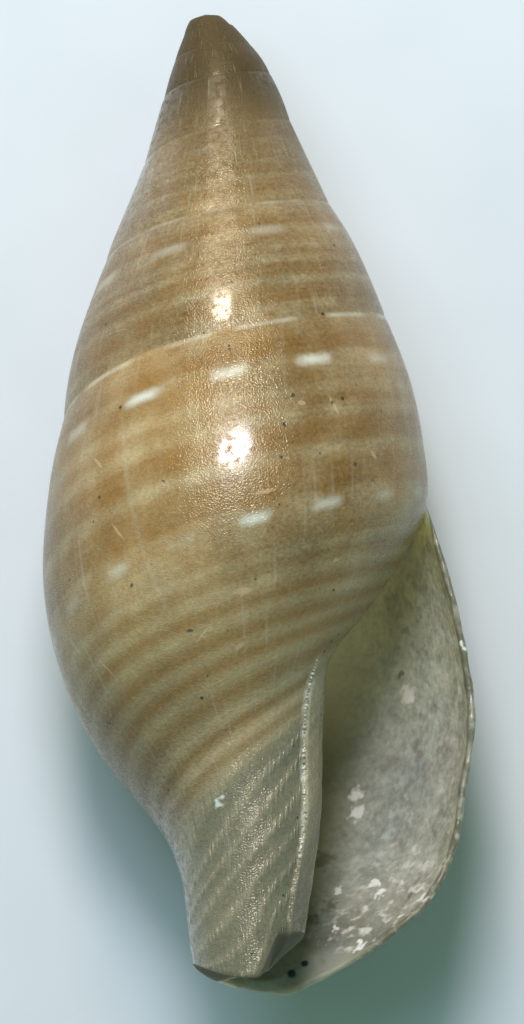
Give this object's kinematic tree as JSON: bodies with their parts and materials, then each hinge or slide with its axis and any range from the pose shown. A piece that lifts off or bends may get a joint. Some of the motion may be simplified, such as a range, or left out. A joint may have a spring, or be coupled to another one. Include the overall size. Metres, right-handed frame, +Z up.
{
  "type": "seashell",
  "caption": "Slender spindle-shaped sea snail shell, coiled to the right, with a narrow slit of a mouth and a short open canal. It lies on its back, mouth up.",
  "frame": {"origin": "centre of the flat resting spot on the back of the last whorl, on the ground", "axes": "+Z up as the shell lies, mouth up; +Y towards the tip of the spire, level; +X towards the outer lip. The coiling axis dips 9 degrees towards the tip."},
  "size_m": [0.004, 0.0095, 0.0037],
  "materials": {
    "shell": "glossy tan shell with pale spiral lines and rows of white dashes"
  },
  "bodies": {
    "root": {"shell": "shell"}
  },
  "joints": []
}
